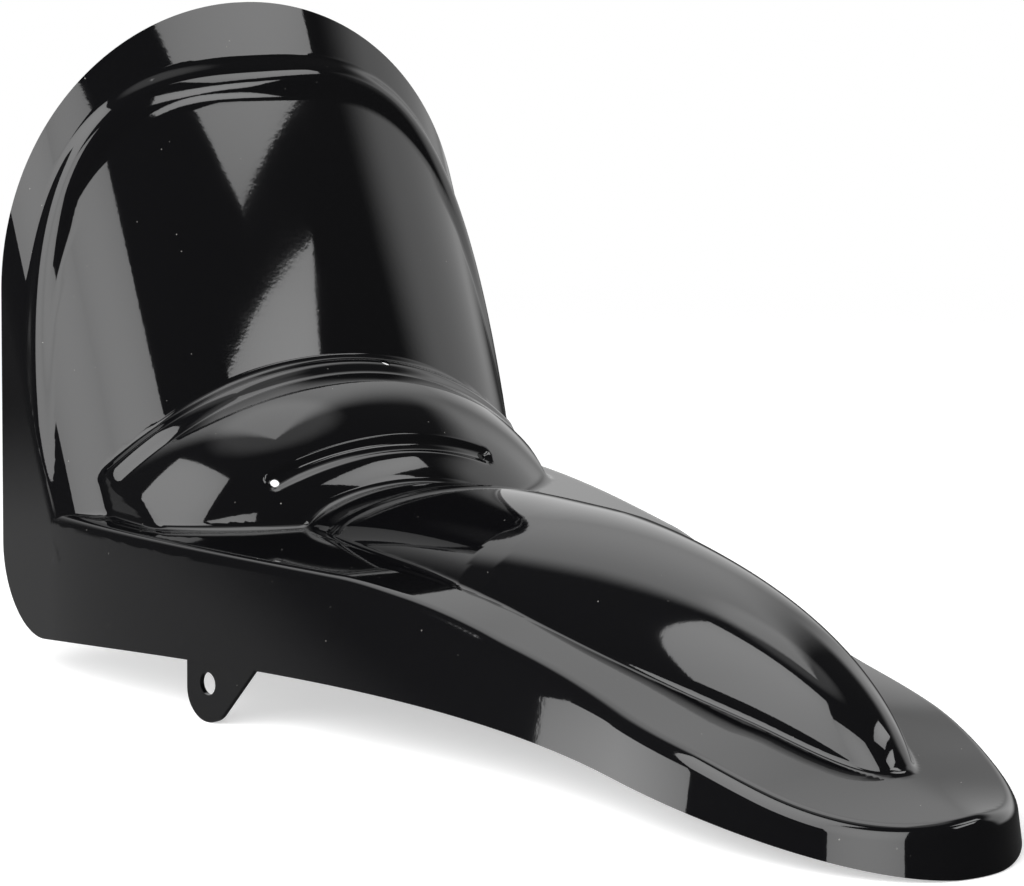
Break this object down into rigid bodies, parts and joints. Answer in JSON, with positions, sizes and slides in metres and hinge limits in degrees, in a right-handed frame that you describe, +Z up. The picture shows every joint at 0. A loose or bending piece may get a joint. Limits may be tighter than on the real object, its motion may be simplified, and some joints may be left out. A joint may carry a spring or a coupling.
{
  "type": "motorcycle front mudguard",
  "caption": "Gloss black pressed-steel front mudguard: a leaning half-round column over a visor collar, and a long domed nose with a skirt and mounting lugs.",
  "frame": {"origin": "on the floor, in the middle plane, where the leaning plane of the rear rim meets the floor", "axes": "+X forward to the nose, +Y to the rider's left, +Z up"},
  "size_m": [0.6043, 0.275, 0.329],
  "materials": {
    "shell_paint": "high-gloss black paint",
    "lug_paint": "satin black paint"
  },
  "bodies": {
    "root": {"mudguard_shell": "shell_paint", "right_mounting_lug": "lug_paint", "left_mounting_lug": "lug_paint"}
  },
  "joints": []
}
